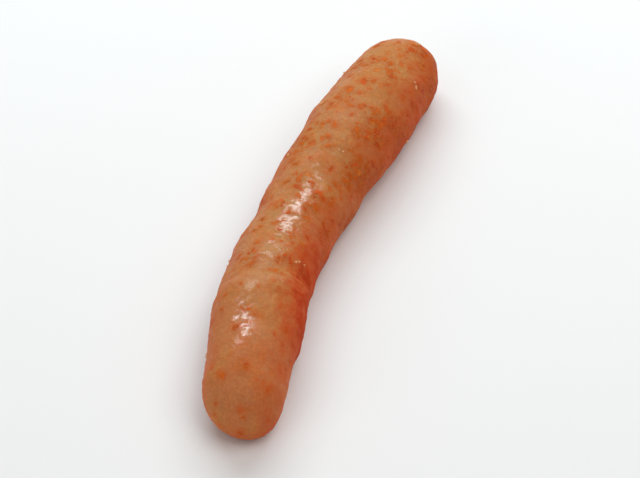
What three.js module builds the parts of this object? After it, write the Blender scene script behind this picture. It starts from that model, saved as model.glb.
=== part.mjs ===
// Spicy cod roe: one cured pollock roe sac, a plump, slightly bent sausage of tiny eggs in its own thin skin.
// Millimetres, +Z up. It lies along Y, its rounder shoulder towards +Y, on the flat that its own weight has
// pressed into it. The origin is on the surface it rests on, under the middle of its box.
import * as THREE from "three";

// Driving dimensions.
const LENGTH = 167; // tip to tip
const WIDTH = 27.8; // across the shoulder, the widest place
const HEIGHT_SHARE = 0.92; // how tall a section is for its width, before it settles
const SINK = 1.7; // how much of the round underside is pressed flat
const SETTLE_BLEND = 0.9; // half the height over which the flat turns up into the flank
const SLUMP = 0.06; // the lower flank is wider than the upper by this share

// The sac's bend and girth. along: place between the near tip (-0.5) and the far tip (0.5), as a share of LENGTH.
// swing: how far the middle line stands to the right, as a share of LENGTH. girth: width, as a share of WIDTH.
const STATIONS = [
  { along: -0.5, swing: 0.074, girth: 0.78 },
  { along: -0.413, swing: 0.055, girth: 0.86 },
  { along: -0.335, swing: 0.035, girth: 0.915 },
  { along: -0.256, swing: 0.016, girth: 0.975 }, // swollen belly of the near end
  { along: -0.153, swing: -0.003, girth: 0.918 },
  { along: -0.05, swing: -0.01, girth: 0.882 }, // waist
  { along: 0.064, swing: -0.013, girth: 0.924 },
  { along: 0.189, swing: -0.003, girth: 0.996 },
  { along: 0.317, swing: 0.003, girth: 1.0 }, // shoulder
  { along: 0.412, swing: 0.009, girth: 0.9 },
  { along: 0.5, swing: 0.013, girth: 0.76 },
];

// The rounded ends: how long each is, and how square its outline is (2 is an ellipse).
const NEAR_END = { length: 13.5, squareness: 2.3 };
const FAR_END = { length: 12.4, squareness: 2.3 };

// A fold of the skin across the waist: a crease with a low lip of slack skin on its near side.
const FOLD = {
  along: -35, // where it crosses the top of the sac
  lean: 5, // how much further from the near tip it is on the right flank than on the top
  depth: 0.7,
  reach: 2.2, // half-width of the crease
  lip: 0.4, // height of the slack skin beside it
  lipOffset: 4.2,
};

// Soft swellings where the eggs are packed tighter: height, pitch along the sac, lobes round it and phase.
const SWELLINGS = [
  { height: 0.34, pitch: 47, lobes: 1, phase: 0.7 },
  { height: 0.26, pitch: 29, lobes: 2, phase: 2.4 },
  { height: 0.2, pitch: 19, lobes: 3, phase: 4.1 },
  { height: 0.13, pitch: 12.5, lobes: 4, phase: 1.2 },
];

// How finely the skin is faceted.
const RINGS = 74;
const POINTS_PER_RING = 40;
const TIP_CROWDING = 0.62; // 0 spaces the rings evenly, 1 crowds them most towards the tips

const TURN = 2 * Math.PI;

// The middle line and girth as one smooth curve through the stations: x is along, y is swing, z is half the width.
const bodyCurve = new THREE.CatmullRomCurve3(
  STATIONS.map(
    ({ along, swing, girth }) =>
      new THREE.Vector3(along * LENGTH, swing * LENGTH, (girth * WIDTH) / 2),
  ),
);

// Where the body curve passes a given place along the sac, found by halving.
function bodyAt(along) {
  let low = 0;
  let high = 1;
  const point = new THREE.Vector3();
  for (let step = 0; step < 40; step++) {
    const middle = (low + high) / 2;
    bodyCurve.getPoint(middle, point);
    if (point.x < along) low = middle;
    else high = middle;
  }
  return { swing: point.y, halfWidth: point.z };
}

// 1 along the body, falling to 0 at a tip along a superellipse.
function endShare(distanceFromTip, end) {
  if (distanceFromTip >= end.length) return 1;
  const inward = 1 - distanceFromTip / end.length;
  return Math.pow(1 - Math.pow(inward, end.squareness), 1 / end.squareness);
}

// Places along the sac, from tip to tip, closer together where the ends turn in.
function alongAt(ring) {
  const share = ring / RINGS;
  const crowded = (1 - Math.cos(Math.PI * share)) / 2;
  return LENGTH * (TIP_CROWDING * crowded + (1 - TIP_CROWDING) * share - 0.5);
}

function bell(distance, reach) {
  return Math.exp(-((distance / reach) ** 2));
}

// How far the skin stands out from the plain section at a place along the sac and an angle round it.
function relief(along, angle) {
  let height = 0;
  for (const { height: size, pitch, lobes, phase } of SWELLINGS)
    height += size * Math.sin((TURN * along) / pitch + phase) * Math.cos(lobes * angle + 1.7 * phase);

  const acrossFold = along - FOLD.along - FOLD.lean * Math.cos(angle);
  const upperSide = THREE.MathUtils.smoothstep(Math.sin(angle), -0.5, 0.6);
  height -= FOLD.depth * upperSide * bell(acrossFold, FOLD.reach);
  height += FOLD.lip * upperSide * bell(acrossFold + FOLD.lipOffset, FOLD.reach);
  return height;
}

// Presses what would hang below the resting surface flat, with a soft turn up into the flank.
function settle(height) {
  if (height >= SETTLE_BLEND) return height;
  if (height <= -SETTLE_BLEND) return 0;
  return (height + SETTLE_BLEND) ** 2 / (4 * SETTLE_BLEND);
}

// One point of the skin.
function skinPoint(along, angle) {
  const { swing, halfWidth } = bodyAt(along);
  const share =
    endShare(along + LENGTH / 2, NEAR_END) * endShare(LENGTH / 2 - along, FAR_END);
  const halfHeight = halfWidth * HEIGHT_SHARE;
  const middleHeight = halfHeight - SINK;
  const out = share * relief(along, angle);
  const across = (halfWidth * share + out) * Math.cos(angle) * (1 - SLUMP * Math.sin(angle));
  const up = (halfHeight * share + out) * Math.sin(angle);
  return new THREE.Vector3(swing + across, along, settle(middleHeight + up));
}

function skinGeometry() {
  const points = [skinPoint(alongAt(0), 0)];
  for (let ring = 1; ring < RINGS; ring++)
    for (let step = 0; step < POINTS_PER_RING; step++)
      points.push(skinPoint(alongAt(ring), (TURN * step) / POINTS_PER_RING));
  points.push(skinPoint(alongAt(RINGS), 0));

  const indexOf = (ring, step) => {
    if (ring === 0) return 0;
    if (ring === RINGS) return points.length - 1;
    return 1 + (ring - 1) * POINTS_PER_RING + (step % POINTS_PER_RING);
  };
  const faces = [];
  for (let ring = 0; ring < RINGS; ring++)
    for (let step = 0; step < POINTS_PER_RING; step++) {
      const here = indexOf(ring, step);
      const beside = indexOf(ring, step + 1);
      const ahead = indexOf(ring + 1, step);
      const aheadBeside = indexOf(ring + 1, step + 1);
      if (here !== beside) faces.push(here, ahead, beside);
      if (ahead !== aheadBeside) faces.push(beside, ahead, aheadBeside);
    }

  const geometry = new THREE.BufferGeometry().setFromPoints(points);
  geometry.setIndex(faces);
  return geometry;
}

function roeSac() {
  const geometry = skinGeometry();
  geometry.computeBoundingBox();
  const middle = geometry.boundingBox.getCenter(new THREE.Vector3());
  geometry.translate(-middle.x, -middle.y, -geometry.boundingBox.min.z);
  geometry.computeVertexNormals();
  const skin = new THREE.MeshStandardMaterial({ color: 0xb86c43, roughness: 0.35, metalness: 0 });
  const mesh = new THREE.Mesh(geometry, skin);
  mesh.name = "roe_sac";
  return mesh;
}

const spicyCodRoe = new THREE.Group();
spicyCodRoe.add(roeSac());

export default spicyCodRoe;
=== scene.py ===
"""Spicy cod roe: the looks of one cured roe sac, wet with chilli marinade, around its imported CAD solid.

Metres, in the frame's axes: +Y runs along the sac to its broad shoulder end, +Z is up, and the origin is on
the floor under the middle of the sac's box. The right flank is the one that faces +X. The shape code works
in millimetres, once the skin's base has been cast from the solid.
"""

import itertools
import math

import bmesh
import bpy
import numpy as np
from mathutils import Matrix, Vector
from mathutils.bvhtree import BVHTree


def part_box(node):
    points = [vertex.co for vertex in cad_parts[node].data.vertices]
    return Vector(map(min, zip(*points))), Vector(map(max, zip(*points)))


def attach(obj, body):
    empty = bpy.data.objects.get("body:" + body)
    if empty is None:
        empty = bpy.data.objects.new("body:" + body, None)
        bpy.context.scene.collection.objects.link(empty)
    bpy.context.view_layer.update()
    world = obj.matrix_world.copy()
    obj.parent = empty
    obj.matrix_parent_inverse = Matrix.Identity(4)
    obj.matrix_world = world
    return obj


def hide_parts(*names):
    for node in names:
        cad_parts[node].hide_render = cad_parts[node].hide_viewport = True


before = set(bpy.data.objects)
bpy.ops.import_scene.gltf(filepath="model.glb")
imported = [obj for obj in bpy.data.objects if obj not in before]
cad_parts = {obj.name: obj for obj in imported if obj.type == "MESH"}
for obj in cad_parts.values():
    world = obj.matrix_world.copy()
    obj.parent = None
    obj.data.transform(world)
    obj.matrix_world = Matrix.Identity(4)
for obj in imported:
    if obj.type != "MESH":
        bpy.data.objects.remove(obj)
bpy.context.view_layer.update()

MM = 0.001
NODE = "roe_sac"

# The fine skin: a grid of rings along the sac and columns round it.
RINGS = 470
COLUMNS = 208
SECTIONS = 48  # places along the sac at which its middle line is found
MIDDLE_HEIGHT_SHARE = 0.4  # how high the middle line runs, as a share of the sac's height
CAP_MM = 13.0  # the rays to the ends fan out from points this far inside the tips
UNDERSIDE_DENSITY = 0.3  # columns under the sac, as a share of those on its top and flanks
SMOOTHING_PASSES = 26  # takes the CAD solid's facets off

# Eggs inside the sac.
EGG_PITCH_MM = 0.95  # of the eggs that stand out under the skin
EGG_RADIUS_SHARE = 0.8  # their radius, as a share of the pitch
EGG_HEIGHT_MM = 0.075  # how far they stand out where the skin is thinnest
FINE_EGG_MM = 0.85  # of the eggs that show in its colour

# Places along the sac.
FOLD_MM = -35.0  # the waist's crease, where it crosses the top
FOLD_LEAN_MM = 5.0  # how much further along it is on the right flank than on the top
FOLD_LIP_MM = 4.2  # from the crease to the top of the lip of slack skin on its near side
WAIST_POOL_MM = -9.0  # middles of the two pools of wet film
BELLY_POOL_MM = -60.0
# Painted shade: the right flank's deepest soaked part, at the waist, is darkened as shade too.
SHADED_SOAK_WAIST_MM = -30.0  # middle of the deepest soaked part of the right flank

# Scraps of chilli: flakes and fine specks. Their sizes are half-lengths.
FLAKE_SIZE_MM = 0.68  # of a middling flake
FLAKE_SIZE_SPREAD = 0.38  # how much flakes vary, as a share
FLAKE_SIZES_MM = (0.32, 1.4)  # of the least and the largest
SPECK_SIZES_MM = (0.09, 0.24)
SHARP_RIM_ANGLE = math.radians(70)  # steeper than this between two faces, a scrap's edge is shaded sharp
RIM_LIFT_MM = -0.012  # a scrap's rim is sunk this far into the skin
UNDER_LIFT_MM = -0.12  # and its underside comes to a point this deep
INNER_RING_SHARE = 0.55  # where a scrap's top levels off, as a share of its outline

# Loose eggs, clinging to the skin.
LOOSE_EGGS = 26
LOOSE_EGG_SEED = 41
LOOSE_EGG_RADII_MM = (0.26, 0.4)
CLUSTER_REACH_MM = 1.6  # how far from its neighbour a clustered one may lie

# Blots are stains of marinade without a flake in them. Their sizes are half-lengths too.
BLOTS = 420
BLOT_SEED = 53
BLOT_SIZES_MM = (0.4, 1.3)

# How far and how strongly marinade has bled into the skin round a flake or a blot. Reach is in millimetres.
FLAKE_STAIN = {"reach_share": 1.6, "reach_least": 0.4, "strength": 0.95}
BLOT_STAIN = {"reach_share": 1.1, "reach_least": 0.3, "strength": 0.75}
STAIN_EDGE = 2.5  # this many reaches from a mark, its stain has faded out


# ---------------------------------------------------------------------------------------- small tools


class Noise:
    """Smooth gradient noise over numpy points, from about -1 to 1, one lump to a unit."""

    SIZE = 256

    def __init__(self, seed):
        rng = np.random.default_rng(seed)
        self.order = rng.permutation(self.SIZE)
        directions = rng.normal(size=(self.SIZE, 3))
        self.slopes = directions / np.linalg.norm(directions, axis=1, keepdims=True)

    def __call__(self, points):
        corner = np.floor(points).astype(int)
        inside = points - corner
        fade = inside**3 * (inside * (inside * 6 - 15) + 10)
        total = np.zeros(len(points))
        for step in itertools.product((0, 1), repeat=3):
            x, y, z = ((corner + step) % self.SIZE).T
            which = self.order[(self.order[(self.order[x] + y) % self.SIZE] + z) % self.SIZE]
            share = np.prod(np.where(step, fade, 1 - fade), axis=1)
            total += share * np.sum(self.slopes[which] * (inside - step), axis=1)
        return 1.7 * total


def lumps(spots, size, seed):
    """Noise over the spots, from about -1 to 1, with lumps of that size."""
    return Noise(seed)(spots / size)


def smoothstep(value, low, high):
    """0 up to low, 1 from high on, and a smooth rise between them."""
    share = np.clip((value - low) / (high - low), 0, 1)
    return share * share * (3 - 2 * share)


def bell(value, reach):
    """1 at 0, falling away on both sides, to 0.37 at reach."""
    return np.exp(-((value / reach) ** 2))


def unit(vectors):
    """The vectors, each scaled to length 1."""
    return vectors / np.maximum(np.linalg.norm(vectors, axis=-1, keepdims=True), 1e-12)


def srgb(red, green, blue):
    """A colour as picked on a screen, 0 to 255, as the linear colour that shaders take."""
    channels = np.array([red, green, blue]) / 255
    linear = np.where(channels <= 0.04045, channels / 12.92, ((channels + 0.055) / 1.055) ** 2.4)
    return (*linear.tolist(), 1.0)


def egg_cells(points, pitch, seed):
    """For each point, how far the nearest egg's middle is, in pitches. The eggs fill space at random."""
    rng = np.random.default_rng(seed)
    size = 64
    jitter = rng.uniform(0.1, 0.9, size=(size, size, size, 3))
    scaled = points / pitch
    corner = np.floor(scaled).astype(int)
    nearest = np.full(len(points), np.inf)
    for step in itertools.product((-1, 0, 1), repeat=3):
        cell = corner + step
        x, y, z = (cell % size).T
        nearest = np.minimum(nearest, np.linalg.norm(cell + jitter[x, y, z] - scaled, axis=1))
    return nearest


def mesh_object(name, points, faces, material):
    mesh = bpy.data.meshes.new(name)
    mesh.from_pydata(np.asarray(points).tolist(), [], faces)
    mesh.shade_smooth()
    mesh.materials.append(material)
    made = bpy.data.objects.new(name, mesh)
    bpy.context.scene.collection.objects.link(made)
    return made


def paint(piece, name, values):
    """Stores one number for each vertex, for the material to read."""
    layer = piece.data.attributes.new(name, "FLOAT", "POINT")
    layer.data.foreach_set("value", np.asarray(values, np.float32))


def paint_colour(piece, name, colours):
    """Stores one colour for each vertex, for the material to read."""
    layer = piece.data.attributes.new(name, "FLOAT_COLOR", "POINT")
    layer.data.foreach_set("color", np.asarray(colours, np.float32).ravel())


# ------------------------------------------------------------------------------------- the sac's shape


def solid_tree(node_object):
    """The CAD solid's faces, ready for rays to be cast at them, in metres."""
    mesh = node_object.data
    points = [vertex.co.copy() for vertex in mesh.vertices]
    return BVHTree.FromPolygons(points, [tuple(face.vertices) for face in mesh.polygons])


def middle_line(tree, low, high):
    """The middle of the sac's sections, at places along it between its two caps, and how high it runs."""
    along = np.linspace(low.y + CAP_MM * MM, high.y - CAP_MM * MM, SECTIONS)
    height = MIDDLE_HEIGHT_SHARE * high.z
    reach = 2 * (high.x - low.x)
    across = []
    for y in along:
        left = tree.ray_cast(Vector((-reach, y, height)), Vector((1, 0, 0)))[0]
        right = tree.ray_cast(Vector((reach, y, height)), Vector((-1, 0, 0)))[0]
        across.append((left.x + right.x) / 2)
    return along, np.array(across), height


def column_angles():
    """Angles round the sac, from the right flank over the top, closer together where the skin shows.

    They thin out where the sine of the angle below the middle line goes from 0.78 to 0.95.
    """
    fine = np.linspace(0, 2 * math.pi, 2001)
    density = 1 - (1 - UNDERSIDE_DENSITY) * smoothstep(-np.sin(fine), 0.78, 0.95)
    places = np.concatenate([[0], np.cumsum((density[1:] + density[:-1]) / 2)])
    return np.interp(np.arange(COLUMNS) / COLUMNS * places[-1], places, fine)


def smooth_rings(values):
    """Takes the facets off a grid of values, rings by columns."""
    for _ in range(SMOOTHING_PASSES):
        padded = np.pad(values, ((1, 1), (0, 0)), mode="edge")
        values = (padded[:-2] + 2 * values + padded[2:]) / 4
        values = (np.roll(values, 1, axis=1) + 2 * values + np.roll(values, -1, axis=1)) / 4
    return values


def grid_vectors(x, y, z):
    """A vector for each ring and column, from parts that may be the same all along or all round."""
    return np.stack([np.broadcast_to(part, (RINGS, COLUMNS)) for part in (x, y, z)], axis=-1)


def cast_skin(tree, low, high):
    """The CAD solid's surface without its facets, by rays from its middle line, in metres."""
    along, across, height = middle_line(tree, low, high)
    cap = CAP_MM * MM
    quarter = cap * math.pi / 2
    travel = (np.arange(RINGS) + 0.5) / RINGS * (along[-1] - along[0] + 2 * quarter)
    into_far_cap = travel - travel[-1] - travel[0] + quarter
    tilt = np.minimum(travel - quarter, 0) / cap + np.maximum(into_far_cap, 0) / cap
    start_y = np.clip(travel - quarter + along[0], along[0], along[-1])
    start_x = np.interp(start_y, along, across)
    starts = grid_vectors(start_x[:, None], start_y[:, None], height)

    angles = column_angles()
    level = np.cos(tilt)[:, None]
    ways = grid_vectors(level * np.cos(angles), np.sin(tilt)[:, None], level * np.sin(angles))

    reach = np.empty((RINGS, COLUMNS))
    for place in np.ndindex(RINGS, COLUMNS):
        reach[place] = tree.ray_cast(Vector(starts[place]), Vector(ways[place]))[3]
    return starts + ways * smooth_rings(reach)[..., None]


def grid_normals(points):
    """Normals of a grid of points, rings by columns, the end rings carried straight on."""
    padded = np.concatenate([2 * points[:1] - points[1:2], points, 2 * points[-1:] - points[-2:-1]])
    forward = padded[2:] - padded[:-2]
    around = np.roll(points, -1, axis=1) - np.roll(points, 1, axis=1)
    return unit(np.cross(forward, around))


def fold_distance(spots, normals):
    """How far along the sac each point is from the waist's crease, which wanders a little."""
    wander = 1.1 * lumps(spots, 6.0, seed=31) + 0.4 * lumps(spots, 1.9, seed=32)
    return spots[:, 1] - FOLD_MM - FOLD_LEAN_MM * normals[:, 0] + wander


def relief(spots, normals):
    """How far the skin stands out: clumps of eggs, single eggs, the waist's crease and fine wrinkles.

    It fades to nothing where the sac meets the floor.
    """
    clumps = 0.2 * lumps(spots, 10.0, seed=11) + 0.15 * lumps(spots, 5.2, seed=12)
    dimples = 0.11 * lumps(spots, 2.6, seed=13) + 0.065 * lumps(spots, 1.4, seed=14)
    domes = np.sqrt(np.maximum(0, 1 - (egg_cells(spots, EGG_PITCH_MM, seed=15) / EGG_RADIUS_SHARE) ** 2))
    thin_skin = smoothstep(lumps(spots, 7.0, seed=16), -0.35, 0.5)
    eggs = EGG_HEIGHT_MM * domes * (0.45 + 0.55 * thin_skin)

    from_fold = fold_distance(spots, normals)
    upper = smoothstep(normals[:, 2], -0.2, 0.45)
    crease = -0.04 * bell(from_fold, 1.3) + 0.03 * bell(from_fold + 2.2, 1.4)
    ripples = np.sin(from_fold * 2.9 + 2.2 * lumps(spots, 4.0, seed=17))
    wrinkles = 0.03 * ripples * bell(from_fold + 1.0, 6.0)

    height = clumps + dimples + eggs + upper * (crease + wrinkles)
    return height * smoothstep(spots[:, 2], 0.1, 2.5)


def ring_faces():
    """Quads between neighbouring rings, and a fan at each tip. The two tips come after the grid's points."""
    index = np.arange(RINGS * COLUMNS).reshape(RINGS, COLUMNS)
    beside = np.roll(index, -1, axis=1)
    quads = np.stack([index[:-1], index[1:], beside[1:], beside[:-1]], axis=-1).reshape(-1, 4)
    near_tip, far_tip = RINGS * COLUMNS, RINGS * COLUMNS + 1
    fans = [(near_tip, int(a), int(b)) for a, b in zip(index[0], beside[0])]
    fans += [(far_tip, int(b), int(a)) for a, b in zip(index[-1], beside[-1])]
    return quads.tolist() + fans


def sac_points():
    """The skin's points, in millimetres, and normals, as flat lists without the two tips."""
    low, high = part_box(NODE)
    base = cast_skin(solid_tree(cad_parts[NODE]), low, high) / MM
    normals = grid_normals(base).reshape(-1, 3)
    spots = base.reshape(-1, 3)
    shaped = spots + normals * relief(spots, normals)[:, None]
    shaped[:, 2] = np.maximum(shaped[:, 2], 0)
    return shaped, grid_normals(shaped.reshape(RINGS, COLUMNS, 3)).reshape(-1, 3)


# ----------------------------------------------------------------------- what lies on and in the skin


def chilli_density(spots, normals):
    """How thickly chilli lies: most on the shoulder end and its right side, in drifts, little below."""
    along = spots[:, 1]
    shoulder = smoothstep(along, -42, 22)
    right = 0.5 + 0.5 * normals[:, 0]
    drifts = smoothstep(lumps(spots, 9.0, seed=21) + 0.5 * lumps(spots, 3.5, seed=22), -0.25, 0.75)
    amount = 0.09 + shoulder * (0.36 + 0.74 * right) + 0.14 * bell(along + 51, 12) * right
    return amount * (0.14 + 1.1 * drifts) * smoothstep(normals[:, 2], -0.8, -0.2)


def dustiness(spots, normals):
    """How much fine chilli clouds the skin: most on the shoulder end's right side, least on its left."""
    shoulder = smoothstep(spots[:, 1], -13, 32)
    side = smoothstep(normals[:, 0], -0.75, 0.45)
    return 0.12 + 0.88 * shoulder * (0.2 + 0.8 * side)


def wetness(spots, normals):
    """How thick the wet film is: pools on top at the waist and the belly, and patches on the left flank."""
    from_waist = spots[:, 1] - WAIST_POOL_MM
    ridge = 0.14 + 0.008 * from_waist
    waist = bell(from_waist, 18) * bell(normals[:, 0] - ridge, 0.22)
    belly = bell(spots[:, 1] - BELLY_POOL_MM, 13) * bell(normals[:, 0] + 0.2, 0.2)
    top = smoothstep(normals[:, 2], 0.45, 0.85)
    patches = smoothstep(-normals[:, 0], 0.75, 1.0) * smoothstep(lumps(spots, 8.0, seed=61), -0.1, 0.5)
    return np.clip(top * (0.02 + 0.93 * np.clip(waist + belly, 0, 1)) + 0.3 * patches, 0, 1)


def soaking_and_shade(spots, normals):
    """How deeply marinade has soaked in, with painted shade in it: most on the right flank at the waist,
    some all round.
    """
    along = spots[:, 1]
    # Painted shade as well as marinade: the right and left flanks, the underside, the near end and the right
    # flank at the waist come out redder and darker.
    right = smoothstep(normals[:, 0], 0.25, 1.0)
    left = smoothstep(-normals[:, 0], 0.45, 1.0)
    low_down = smoothstep(-normals[:, 2], -0.3, 0.6)
    near = smoothstep(-along, 30, 60)
    waist = bell(along - SHADED_SOAK_WAIST_MM, 20) * smoothstep(normals[:, 0], 0.1, 0.9)
    right_share = 0.86 - 0.34 * bell(along - 6, 24) - 0.45 * smoothstep(-along, 42, 62)
    left_share = 0.48 + 0.25 * bell(along, 25)
    sides = right_share * right + left_share * left + 0.45 * waist
    return np.clip(sides + 0.32 * low_down + 0.2 * near, 0, 1.2)


def milkiness_and_highlight(spots, normals):
    """How milky the slack skin is, with a painted highlight: a pale streak on the lip of the waist's fold,
    on top of the sac.
    """
    from_lip = fold_distance(spots, normals) + FOLD_LIP_MM
    return 0.6 * bell(from_lip, 1.5) * bell(normals[:, 0] - 0.22, 0.27)


def patch_areas(spots):
    """The area of skin that each grid point stands for."""
    grid = spots.reshape(RINGS, COLUMNS, 3)
    forward = np.linalg.norm(np.gradient(grid, axis=0), axis=-1)
    around = np.linalg.norm(np.roll(grid, -1, axis=1) - np.roll(grid, 1, axis=1), axis=-1) / 2
    return (forward * around).ravel()


class Skin:
    """The fine skin's points and what is known at each of them, in millimetres."""

    def __init__(self):
        self.spots, self.normals = sac_points()
        grid = self.spots.reshape(RINGS, COLUMNS, 3)
        self.points = np.concatenate([self.spots, [grid[0].mean(axis=0)], [grid[-1].mean(axis=0)]])
        self.faces = ring_faces()
        self.tree = BVHTree.FromPolygons(self.points.tolist(), self.faces)
        self.soaked_and_shaded = soaking_and_shade(self.spots, self.normals)
        self.weights = chilli_density(self.spots, self.normals) * patch_areas(self.spots)

    def choose(self, rng, count):
        """Places for chilli, as numbers of skin points."""
        shares = self.weights / self.weights.sum()
        return rng.choice(len(self.spots), size=count, replace=False, p=shares)


# ------------------------------------------------------------------------------------------ the chilli

RED = srgb(186, 77, 16)
ORANGE_RED = srgb(191, 90, 18)
LIGHT = srgb(199, 112, 40)
# Soaked-in chilli red and painted shade: flakes lean towards it where the skin is soaked and shaded.
DEEP_RED_SOAK_AND_SHADE = srgb(172, 50, 12)
STAINED_SKIN = srgb(192, 101, 38)


def flake_size(rng):
    return float(np.clip(rng.lognormal(math.log(FLAKE_SIZE_MM), FLAKE_SIZE_SPREAD), *FLAKE_SIZES_MM))


def speck_size(rng):
    return float(rng.uniform(*SPECK_SIZES_MM))


# The two kinds of scrap. A palette lists shares and colours.
FLAKES = {
    "count": 800,
    "corners": 10,
    "sizes": flake_size,
    "palette": [(0.35, RED), (0.6, ORANGE_RED), (0.05, LIGHT)],
    "seed": 51,
}
SPECKS = {
    "count": 1500,
    "corners": 6,
    "sizes": speck_size,
    "palette": [(0.35, RED), (0.55, ORANGE_RED), (0.1, LIGHT)],
    "seed": 52,
}


def tangents(normal, turn):
    """Two directions along the skin, square to each other, at an angle from an arbitrary start."""
    side = unit(np.cross(normal, (0.13, 1.0, 0.27)))
    other = np.cross(normal, side)
    first = math.cos(turn) * side + math.sin(turn) * other
    second = math.cos(turn) * other - math.sin(turn) * side
    return first, second


def lay_on_skin(tree, middle, normal, turn, outline, lift):
    """Points of a flat outline, wrapped on the skin and lifted off it, all in millimetres."""
    first, second = tangents(normal, turn)
    laid = []
    for along, across in outline:
        near = tree.find_nearest(Vector(middle + along * first + across * second))
        laid.append(np.array(near[0]) + lift * np.array(near[1]))
    return laid


class Scrap:
    """One scrap of chilli: an uneven leaf that follows the skin, thick in the middle, its rim sunk in."""

    def __init__(self, rng, size, corners):
        stretch = rng.uniform(1.3, 2.8)
        length = size * stretch**0.5
        breadth = size / stretch**0.5
        self.bend = rng.uniform(-0.4, 0.4) / size
        angles = np.arange(corners) / corners * 2 * math.pi
        uneven = 1 + rng.uniform(-0.25, 0.25, corners)
        self.rim = np.stack([length * uneven * np.cos(angles), breadth * uneven * np.sin(angles)], axis=1)
        self.turn = rng.uniform(0, 2 * math.pi)
        self.thickness = rng.uniform(0.02, 0.045) + 0.015 * size

    def outline(self, share):
        along, across = (share * self.rim).T
        return np.stack([along, across + self.bend * along**2], axis=1)

    def points(self, skin, at):
        """Its rim, its inner ring, its top and the point under it, laid at one of the skin's points."""
        middle = np.zeros((1, 2))
        laid = []
        for outline, lift in (
            (self.outline(1.0), RIM_LIFT_MM),
            (self.outline(INNER_RING_SHARE), 0.8 * self.thickness),
            (middle, self.thickness),
            (middle, UNDER_LIFT_MM),
        ):
            laid += lay_on_skin(skin.tree, skin.spots[at], skin.normals[at], self.turn, outline, lift)
        return laid


def scrap_faces(first, corners):
    """A scrap's faces, its points being numbered from first."""
    top = first + 2 * corners
    under = top + 1
    faces = []
    for here in range(corners):
        beside = (here + 1) % corners
        rim = (first + here, first + beside)
        inner = (rim[0] + corners, rim[1] + corners)
        faces.append((rim[0], rim[1], inner[1], inner[0]))
        faces.append((inner[0], inner[1], top))
        faces.append((rim[1], rim[0], under))
    return faces


def scrap_colour(rng, palette, soaked_and_shaded):
    """A colour from the palette, a little lighter or darker, and redder where marinade has soaked in and
    where shade is painted.
    """
    shares = np.array([share for share, _ in palette])
    colour = np.array(palette[rng.choice(len(palette), p=shares / shares.sum())][1])
    colour[:3] *= rng.uniform(0.88, 1.15)
    return colour + 0.7 * soaked_and_shaded * (np.array(DEEP_RED_SOAK_AND_SHADE) - colour)


def scatter_scraps(name, skin, material, count, corners, sizes, palette, seed):
    """Scraps of chilli as one joined mesh, and where each of them lies and its size."""
    rng = np.random.default_rng(seed)
    points, faces, colours, marks = [], [], [], []
    for at in skin.choose(rng, count):
        size = sizes(rng)
        scrap = Scrap(rng, size, corners)
        colour = scrap_colour(rng, palette, skin.soaked_and_shaded[at])
        rim_colour = 0.15 * colour + 0.85 * np.array(STAINED_SKIN)
        faces += scrap_faces(len(points), corners)
        points += scrap.points(skin, at)
        colours += [rim_colour] * corners + [colour] * (corners + 2)
        marks.append((at, size))
    made = mesh_object(name, np.array(points) * MM, faces, material)
    made.data.set_sharp_from_angle(angle=SHARP_RIM_ANGLE)
    paint_colour(made, "tone", colours)
    return made, marks


def scatter_blots(skin):
    """Where marinade has bled into the skin without a flake, and how large each blot is."""
    rng = np.random.default_rng(BLOT_SEED)
    return [(at, rng.uniform(*BLOT_SIZES_MM)) for at in skin.choose(rng, BLOTS)]


def stain_round(spots, marks, reach_share, reach_least, strength):
    """How strongly marinade has bled into the skin round each mark, from 0 to strength."""
    stain = np.zeros(len(spots))
    for at, size in marks:
        reach = reach_least + reach_share * size
        near = np.abs(spots[:, 1] - spots[at, 1]) < STAIN_EDGE * reach
        distance = np.linalg.norm(spots[near] - spots[at], axis=1)
        stain[near] = np.maximum(stain[near], strength * bell(distance, reach))
    return stain


# ------------------------------------------------------------------------------------------ loose eggs


def unit_ball():
    """Points and triangles of a ball of radius 1."""
    mesh = bpy.data.meshes.new("ball")
    shape = bmesh.new()
    bmesh.ops.create_icosphere(shape, subdivisions=3, radius=1.0)
    shape.to_mesh(mesh)
    shape.free()
    points = np.array([vertex.co for vertex in mesh.vertices])
    faces = np.array([face.vertices for face in mesh.polygons])
    bpy.data.meshes.remove(mesh)
    return points, faces


def loose_eggs(skin, material):
    """Eggs that have come out of the sac and cling to its skin, mostly on the flanks, half in clusters."""
    spots, normals = skin.spots, skin.normals
    rng = np.random.default_rng(LOOSE_EGG_SEED)
    ball_points, ball_faces = unit_ball()
    flanks = 0.15 + smoothstep(np.abs(normals[:, 0]), 0.5, 0.9)
    weights = smoothstep(normals[:, 2], -0.5, 0.1) * flanks
    homes = rng.choice(len(spots), size=LOOSE_EGGS // 2, replace=False, p=weights / weights.sum())

    points, faces = [], []
    for egg in range(LOOSE_EGGS):
        if egg < len(homes):
            at = homes[egg]
        else:
            home = homes[rng.integers(len(homes))]
            near = np.flatnonzero(np.linalg.norm(spots - spots[home], axis=1) < CLUSTER_REACH_MM)
            at = near[rng.integers(len(near))]
        radius = rng.uniform(*LOOSE_EGG_RADII_MM)
        middle = spots[at] + normals[at] * radius * rng.uniform(0.1, 0.6)
        faces += (ball_faces + len(points) * len(ball_points)).tolist()
        points.append(middle + radius * ball_points)
    return mesh_object("loose_eggs", np.concatenate(points) * MM, faces, material)


# ------------------------------------------------------------------------------------------- materials


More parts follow.
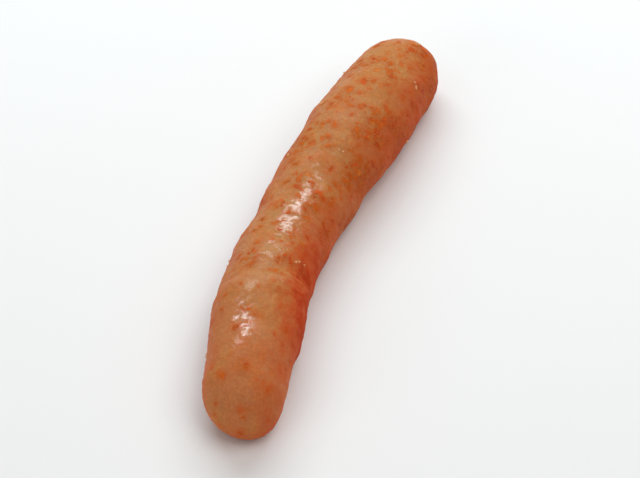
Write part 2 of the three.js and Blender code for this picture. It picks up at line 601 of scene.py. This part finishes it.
class Nodes:
    """Short names for adding and joining the nodes of one material. Sizes are in millimetres."""

    def __init__(self, name):
        self.material = bpy.data.materials.new(name)
        self.material.use_nodes = True
        self.tree = self.material.node_tree
        self.shader = self.tree.nodes["Principled BSDF"]
        place = self.add("ShaderNodeTexCoord")
        scale = self.add("ShaderNodeVectorMath", operation="SCALE")
        scale.inputs["Scale"].default_value = 1 / MM
        self.join(place.outputs["Object"], scale.inputs[0])
        self.place = scale.outputs[0]

    def add(self, kind, **settings):
        node = self.tree.nodes.new(kind)
        for key, value in settings.items():
            setattr(node, key, value)
        return node

    def join(self, source, socket):
        self.tree.links.new(source, socket)

    def set(self, socket, value):
        """Joins an output to the socket, or sets it where value is a plain number or colour."""
        if isinstance(value, bpy.types.NodeSocket):
            self.join(value, socket)
        else:
            socket.default_value = value

    def finish(self, **looks):
        """Sets or joins the shader's sockets. A name's underscores stand for spaces."""
        for key, value in looks.items():
            self.set(self.shader.inputs[key.replace("_", " ")], value)
        return self.material

    def noise(self, size, detail=2.0, roughness=0.5, offset=0.0, distortion=0.0):
        """Noise with lumps of about that size, about 0.5."""
        node = self.add("ShaderNodeTexNoise", noise_dimensions="4D")
        self.join(self.place, node.inputs["Vector"])
        for key, value in (
            ("W", offset),
            ("Scale", 1 / size),
            ("Detail", detail),
            ("Roughness", roughness),
            ("Distortion", distortion),
        ):
            node.inputs[key].default_value = value
        return node.outputs["Fac"]

    def eggs(self, output):
        """Packed eggs: the Distance from each one's middle, or a Color of its own for each."""
        node = self.add("ShaderNodeTexVoronoi", feature="SMOOTH_F1")
        node.inputs["Smoothness"].default_value = 0.25
        self.join(self.place, node.inputs["Vector"])
        node.inputs["Scale"].default_value = 1 / FINE_EGG_MM
        return node.outputs[output]

    def spread(self, value, low, high, to_low=0.0, to_high=1.0):
        """Maps low to high onto another range, smoothly, and holds it there."""
        node = self.add("ShaderNodeMapRange", interpolation_type="SMOOTHSTEP")
        self.set(node.inputs["Value"], value)
        for key, number in (("From Min", low), ("From Max", high), ("To Min", to_low), ("To Max", to_high)):
            node.inputs[key].default_value = number
        return node.outputs[0]

    def patches(self, size, low, high, to_low=0.0, to_high=1.0, **grain):
        """Noise whose values from low to high are spread over another range."""
        return self.spread(self.noise(size, **grain), low, high, to_low, to_high)

    def math(self, operation, first, second):
        node = self.add("ShaderNodeMath", operation=operation)
        self.set(node.inputs[0], first)
        self.set(node.inputs[1], second)
        return node.outputs[0]

    def times(self, first, second):
        return self.math("MULTIPLY", first, second)

    def mix(self, share, first, second, blend="MIX"):
        """Mixes two colours. The node's colour sockets are its inputs 6 and 7 and its output 2."""
        node = self.add("ShaderNodeMix", data_type="RGBA", blend_type=blend)
        self.set(node.inputs[0], share)
        self.set(node.inputs[6], first)
        self.set(node.inputs[7], second)
        return node.outputs[2]

    def attribute(self, name, output="Fac"):
        return self.add("ShaderNodeAttribute", attribute_name=name).outputs[output]

    def bump(self, height, full_height, normal=None):
        """A normal for a height that runs from 0 to 1 for full_height."""
        node = self.add("ShaderNodeBump")
        self.set(node.inputs["Height"], height)
        node.inputs["Distance"].default_value = full_height * MM
        if normal is not None:
            self.join(normal, node.inputs["Normal"])
        return node.outputs[0]


AMBER = srgb(186, 129, 72)
PINK = srgb(188, 126, 77)
ORANGE = srgb(192, 111, 47)
# Milky slack skin and a painted highlight: the pale streak on the fold's lip.
MILKY_AND_HIGHLIGHT = srgb(208, 154, 116)
STAIN = srgb(191, 88, 18)
# Soaked-in marinade and painted shade together: the reds that redden and darken the flanks.
DEEP_SOAK_AND_SHADE = srgb(188, 61, 16)
DEEPEST_SOAK_AND_SHADE = srgb(146, 46, 8)
EGG_PALE = srgb(226, 172, 122)
EGG_DARK = srgb(216, 148, 94)


def plain_skin_colour(nodes):
    """Amber and pink in clouds, with orange patches and a pale streak that is partly a painted highlight,
    over eggs of slightly different tones with painted shade in the gaps between them.
    """
    colour = nodes.mix(nodes.patches(17, 0.38, 0.62, detail=1.5), AMBER, PINK)
    orange = nodes.patches(8, 0.45, 0.75, 0, 0.75, detail=3, roughness=0.6, offset=3.1)
    colour = nodes.mix(orange, colour, ORANGE)
    colour = nodes.mix(nodes.times(nodes.attribute("milky_and_highlight"), 0.6), colour, MILKY_AND_HIGHLIGHT)
    each_egg = nodes.spread(nodes.eggs("Color"), 0.2, 0.9, 0.93, 1.05)
    # Painted shade: the skin is a little darker in the gaps between eggs.
    shaded_gaps = nodes.spread(nodes.eggs("Distance"), 0.2, 0.7, 1.03, 0.93)
    return nodes.mix(1.0, colour, nodes.times(each_egg, shaded_gaps), "MULTIPLY")


def marinated_and_shaded_colour(nodes, colour):
    """Chilli-orange stains and dust, and the red of soaked-in marinade with painted shade in it, over the
    plain skin.
    """
    cloudy = nodes.patches(4.2, 0.4, 0.62, detail=4, roughness=0.65, offset=7.7, distortion=0.6)
    drift = nodes.times(nodes.times(cloudy, nodes.attribute("dusty")), 0.3)
    wispy = nodes.patches(1.5, 0.35, 0.6, 0.3, 1.0, offset=8.8, distortion=0.5)
    stained = nodes.times(wispy, nodes.attribute("stain"))
    colour = nodes.mix(nodes.math("MAXIMUM", stained, drift), colour, STAIN)
    dust = nodes.patches(0.7, 0.6, 0.75, 0, 0.5, offset=11.3)
    colour = nodes.mix(nodes.times(dust, nodes.attribute("dusty")), colour, STAIN)

    # Painted shade with the soak: this mask reddens and darkens the flanks, darkest at the waist.
    mottled = nodes.patches(5.5, 0.3, 0.7, 0.66, 0.96, detail=3, roughness=0.6, offset=6.4)
    soaked_and_shaded = nodes.times(nodes.attribute("soaked_and_shaded"), mottled)
    colour = nodes.mix(soaked_and_shaded, colour, DEEP_SOAK_AND_SHADE)
    return nodes.mix(nodes.spread(soaked_and_shaded, 0.66, 1.16, 0, 0.5), colour, DEEPEST_SOAK_AND_SHADE)


def skin_material():
    """Thin skin over packed eggs, stained orange by the marinade and reddened by painted shade on its
    flanks, with a wet film on it in places.
    """
    nodes = Nodes("roe_skin")
    rough = nodes.patches(3.5, 0.3, 0.7, 0.36, 0.52, detail=3, roughness=0.6, offset=5.2)
    film_patches = nodes.patches(6.5, 0.42, 0.56, 0.3, 1.0, detail=1.5, offset=9.4)
    eggs = nodes.bump(nodes.spread(nodes.eggs("Distance"), 0.0, 0.75, 1, 0), 0.07)
    return nodes.finish(
        Base_Color=marinated_and_shaded_colour(nodes, plain_skin_colour(nodes)),
        Subsurface_Weight=0.7,
        Subsurface_Radius=(1.0, 0.25, 0.1),
        Subsurface_Scale=7.0 * MM,
        Specular_IOR_Level=0.08,
        Roughness=nodes.math("ADD", rough, nodes.times(nodes.attribute("soaked_and_shaded"), 0.25)),
        Normal=nodes.bump(nodes.noise(0.35, roughness=0.6, offset=1.9), 0.05, normal=eggs),
        Coat_Weight=nodes.times(nodes.attribute("wet"), film_patches),
        Coat_Roughness=0.19,
        Coat_IOR=1.58,
        Coat_Normal=nodes.bump(nodes.noise(2.4, detail=1.0, offset=2.6), 0.22),
    )


def chilli_material():
    """Wet scraps of ground chilli, each with a tone of its own."""
    nodes = Nodes("chilli")
    shade = nodes.patches(0.35, 0.3, 0.7, 0.8, 1.15)
    return nodes.finish(
        Base_Color=nodes.mix(1.0, nodes.attribute("tone", "Color"), shade, "MULTIPLY"),
        Roughness=nodes.patches(0.9, 0.3, 0.7, 0.45, 0.7, offset=4.0),
        Specular_IOR_Level=0.1,
        Normal=nodes.bump(nodes.noise(0.3), 0.04),
    )


def egg_material():
    """Loose eggs: pale, glassy beads."""
    nodes = Nodes("loose_egg")
    return nodes.finish(
        Base_Color=nodes.mix(nodes.patches(3.0, 0.35, 0.65, detail=1), EGG_PALE, EGG_DARK),
        Subsurface_Weight=0.3,
        Subsurface_Radius=(1.0, 0.5, 0.3),
        Subsurface_Scale=0.3 * MM,
        Specular_IOR_Level=0.15,
        Roughness=0.35,
        Coat_Weight=0.3,
        Coat_Roughness=0.1,
        Normal=nodes.bump(nodes.noise(0.4, detail=1), 0.02),
    )


# ------------------------------------------------------------------------------------------ the pieces


def paint_skin(sac, skin, flakes, blots):
    """Stores how stained, milky (with a painted highlight), soaked (with painted shade), dusty and wet the
    skin is at each vertex, its two tips last.
    """
    spots, normals = skin.spots, skin.normals
    flake_stain = stain_round(spots, flakes, **FLAKE_STAIN)
    blot_stain = stain_round(spots, blots, **BLOT_STAIN)
    for name, values in (
        ("stain", np.maximum(flake_stain, blot_stain)),
        ("milky_and_highlight", milkiness_and_highlight(spots, normals)),
        ("soaked_and_shaded", skin.soaked_and_shaded),
        ("dusty", dustiness(spots, normals)),
        ("wet", wetness(spots, normals)),
    ):
        paint(sac, name, np.concatenate([values, [values[0], values[-1]]]))


def build_sac():
    skin = Skin()
    sac = mesh_object("roe_skin", skin.points * MM, skin.faces, skin_material())
    chilli = chilli_material()
    flakes, flake_marks = scatter_scraps("chilli_flakes", skin, chilli, **FLAKES)
    specks, _ = scatter_scraps("chilli_specks", skin, chilli, **SPECKS)
    eggs = loose_eggs(skin, egg_material())
    paint_skin(sac, skin, flake_marks, scatter_blots(skin))

    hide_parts(NODE)
    for piece in (sac, flakes, specks, eggs):
        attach(piece, "root")


# ------------------------------------------------------------------------------------------ the studio

FLOOR_SIZE = 8
FLOOR_COLOUR = (0.82, 0.81, 0.8, 1)

# Colours of light.
WHITE = (1, 1, 1)
COOL_WHITE = (0.87, 0.96, 1.0)
WARM_WHITE = (1.0, 0.955, 0.93)
CREAM_WHITE = (1.0, 0.98, 0.95)
WORLD_STRENGTH = 0.31

# What the camera and the lights are aimed at, and the camera's angles in degrees.
AIM = Vector((0.0037, -0.0067, 0.0105))
CAMERA_AZIMUTH = 21.4
CAMERA_ELEVATION = 42.2
CAMERA_DISTANCE = 1.012
LENS_MM = 200.0


def build_floor():
    bpy.ops.mesh.primitive_plane_add(size=FLOOR_SIZE)
    floor = bpy.context.object
    floor.name = "floor"
    floor.data.materials.append(Nodes("floor").finish(Base_Color=FLOOR_COLOUR, Roughness=0.6))


def from_aim(azimuth, elevation, distance):
    """A place that is seen from AIM at an azimuth and an elevation, in degrees.

    Azimuth is 0 towards -Y and grows towards +X.
    """
    turn, rise = math.radians(azimuth), math.radians(elevation)
    way = (math.sin(turn) * math.cos(rise), -math.cos(turn) * math.cos(rise), math.sin(rise))
    return AIM + distance * Vector(way)


def stand(name, data, place):
    """Puts a light or camera at a place, turned to face AIM."""
    thing = bpy.data.objects.new(name, data)
    bpy.context.scene.collection.objects.link(thing)
    thing.location = place
    thing.rotation_euler = (AIM - place).to_track_quat("-Z", "Y").to_euler()
    return thing


def softbox(name, place, width, height, watts, colour=WHITE):
    """A rectangular light that faces AIM."""
    light = bpy.data.lights.new(name, "AREA")
    light.shape = "RECTANGLE"
    light.size = width
    light.size_y = height
    light.energy = watts
    light.color = colour
    stand(name, light, place)


def build_studio():
    build_floor()
    lens = bpy.data.cameras.new("camera")
    lens.lens = LENS_MM
    place = from_aim(CAMERA_AZIMUTH, CAMERA_ELEVATION, CAMERA_DISTANCE)
    bpy.context.scene.camera = stand("camera", lens, place)

    softbox("glint", from_aim(200, 45, 0.8), width=1.0, height=0.15, watts=5.2, colour=COOL_WHITE)
    softbox("key", from_aim(330, 60, 1.3), width=0.9, height=0.9, watts=0.8, colour=CREAM_WHITE)
    softbox("top", from_aim(90, 62, 1.6), width=1.2, height=1.2, watts=9.4, colour=WARM_WHITE)
    softbox("front", from_aim(338, 15, 1.3), width=0.9, height=0.6, watts=3.4)

    world = bpy.data.worlds.new("studio")
    world.use_nodes = True
    background = world.node_tree.nodes["Background"]
    background.inputs["Color"].default_value = (*WHITE, 1)
    background.inputs["Strength"].default_value = WORLD_STRENGTH
    bpy.context.scene.world = world
    bpy.context.scene.view_settings.view_transform = "Standard"


build_sac()
build_studio()
